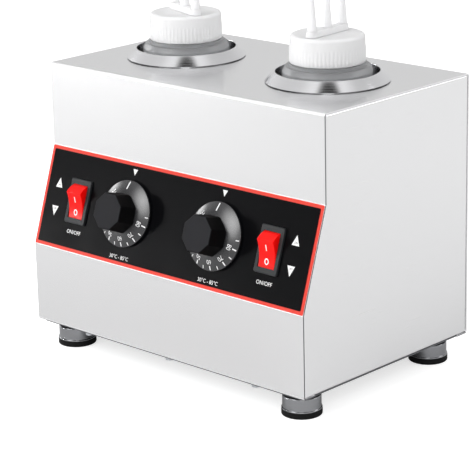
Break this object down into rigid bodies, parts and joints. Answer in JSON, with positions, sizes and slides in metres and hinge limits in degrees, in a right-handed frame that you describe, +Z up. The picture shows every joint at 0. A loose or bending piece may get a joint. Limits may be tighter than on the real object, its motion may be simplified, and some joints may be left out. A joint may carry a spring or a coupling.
{
  "type": "topping warmer",
  "caption": "Countertop sauce warmer: heated wells hold capped squeeze bottles behind a sloped panel with numbered dials and rocker switches, on levelling feet.",
  "frame": {"origin": "on the counter, under the middle of the case", "axes": "+Z up, the controls face -Y, +X to the right as the user faces the controls"},
  "size_m": [0.28, 0.2148, 0.294],
  "materials": {
    "brushed_stainless": "satin brushed stainless sheet",
    "spun_stainless": "polished spun stainless",
    "zinc_steel": "zinc-plated steel",
    "black_film": "semi-gloss black overlay film",
    "red_backing": "red printed overlay backing",
    "knob_black": "glossy black moulded plastic",
    "housing_black": "matt black moulded plastic",
    "rocker_red": "translucent glossy red plastic",
    "bottle_plastic": "translucent milky polyethylene",
    "cap_plastic": "translucent white polyethylene",
    "seal_rubber": "pale silicone rubber",
    "foot_rubber": "black rubber",
    "foot_steel": "drawn stainless shell",
    "brass": "bare brass",
    "copper": "bare copper tube and bulb",
    "phenolic": "dark phenolic moulding",
    "mica_steel": "steel-sheathed mica heater",
    "lagging_fibre": "ceramic fibre blanket",
    "nylon": "black nylon",
    "ceramic": "white glazed ceramic"
  },
  "bodies": {
    "case": {"wrap_shell": "brushed_stainless", "left_side_tray": "brushed_stainless", "right_side_tray": "brushed_stainless", "base_plate": "brushed_stainless", "base_screws": "zinc_steel", "control_backing": "red_backing", "control_film": "black_film", "left_switch_housing": "housing_black", "right_switch_housing": "housing_black", "switch_terminals": "brass", "left_thermostat": "zinc_steel", "right_thermostat": "zinc_steel", "thermostat_screws": "zinc_steel", "left_well": "spun_stainless", "left_heater_band": "mica_steel", "left_lagging": "lagging_fibre", "left_capillary": "copper", "right_well": "spun_stainless", "right_heater_band": "mica_steel", "right_lagging": "lagging_fibre", "right_capillary": "copper", "heater_clamp_bolts": "zinc_steel", "bulb_clips": "zinc_steel", "thermal_cutouts": "phenolic", "well_rail": "brushed_stainless", "well_nuts": "zinc_steel", "foot_washers": "foot_rubber", "foot_nuts": "zinc_steel", "cable_gland": "nylon", "gland_nut": "nylon", "gland_locknut": "nylon", "terminal_block": "ceramic", "terminal_screws": "brass", "earth_stud": "brass"},
    "left_dial": {"left_knob": "knob_black", "left_spindle": "zinc_steel"},
    "right_dial": {"right_knob": "knob_black", "right_spindle": "zinc_steel"},
    "left_rocker_body": {"left_rocker": "rocker_red"},
    "right_rocker_body": {"right_rocker": "rocker_red"},
    "left_bottle_body": {"left_bottle": "bottle_plastic"},
    "left_seal_body": {"left_cap_seal": "seal_rubber"},
    "left_cap_body": {"left_cap": "cap_plastic"},
    "right_bottle_body": {"right_bottle": "bottle_plastic"},
    "right_seal_body": {"right_cap_seal": "seal_rubber"},
    "right_cap_body": {"right_cap": "cap_plastic"},
    "left_front_foot_body": {"left_front_foot": "foot_steel", "left_front_foot_pad": "foot_rubber"},
    "left_rear_foot_body": {"left_rear_foot": "foot_steel", "left_rear_foot_pad": "foot_rubber"},
    "right_front_foot_body": {"right_front_foot": "foot_steel", "right_front_foot_pad": "foot_rubber"},
    "right_rear_foot_body": {"right_rear_foot": "foot_steel", "right_rear_foot_pad": "foot_rubber"}
  },
  "joints": [
    {"name": "left_dial_turn", "type": "hinge", "parent": "case", "child": "left_dial", "pos_m": [-0.0465, -0.0815, 0.1205], "axis": [0, 0.9487, -0.3162], "range_deg": [0, 272]},
    {"name": "right_dial_turn", "type": "hinge", "parent": "case", "child": "right_dial", "pos_m": [0.0465, -0.0815, 0.1205], "axis": [0, 0.9487, -0.3162], "range_deg": [0, 272]},
    {"name": "left_rocker_swing", "type": "hinge", "parent": "case", "child": "left_rocker_body", "pos_m": [-0.0995, -0.07728, 0.11909], "axis": [-1, 0, 0], "range_deg": [0, 40]},
    {"name": "right_rocker_swing", "type": "hinge", "parent": "case", "child": "right_rocker_body", "pos_m": [0.0995, -0.07728, 0.11909], "axis": [-1, 0, 0], "range_deg": [0, 40]},
    {"name": "left_bottle_lift", "type": "slide", "parent": "case", "child": "left_bottle_body", "axis": [0, 0, 1], "range_m": [0, 0.21]},
    {"name": "left_cap_rise", "type": "slide", "parent": "left_bottle_body", "child": "left_seal_body", "axis": [0, 0, 1], "range_m": [0, 0.006]},
    {"name": "left_cap_turn", "type": "hinge", "parent": "left_seal_body", "child": "left_cap_body", "pos_m": [-0.0725, 0.0125, 0.25], "axis": [0, 0, 1], "range_deg": [0, 540]},
    {"name": "right_bottle_lift", "type": "slide", "parent": "case", "child": "right_bottle_body", "axis": [0, 0, 1], "range_m": [0, 0.21]},
    {"name": "right_cap_rise", "type": "slide", "parent": "right_bottle_body", "child": "right_seal_body", "axis": [0, 0, 1], "range_m": [0, 0.006]},
    {"name": "right_cap_turn", "type": "hinge", "parent": "right_seal_body", "child": "right_cap_body", "pos_m": [0.0725, 0.0125, 0.25], "axis": [0, 0, 1], "range_deg": [0, 540]},
    {"name": "left_front_foot_height", "type": "slide", "parent": "case", "child": "left_front_foot_body", "axis": [0, 0, -1], "range_m": [0, 0.006]},
    {"name": "left_rear_foot_height", "type": "slide", "parent": "case", "child": "left_rear_foot_body", "axis": [0, 0, -1], "range_m": [0, 0.006]},
    {"name": "right_front_foot_height", "type": "slide", "parent": "case", "child": "right_front_foot_body", "axis": [0, 0, -1], "range_m": [0, 0.006]},
    {"name": "right_rear_foot_height", "type": "slide", "parent": "case", "child": "right_rear_foot_body", "axis": [0, 0, -1], "range_m": [0, 0.006]}
  ],
  "couplings": [
    {"joint": "left_cap_rise", "follows": "left_cap_turn", "m_per_rad": 0.00063662},
    {"joint": "right_cap_rise", "follows": "right_cap_turn", "m_per_rad": 0.00063662}
  ]
}
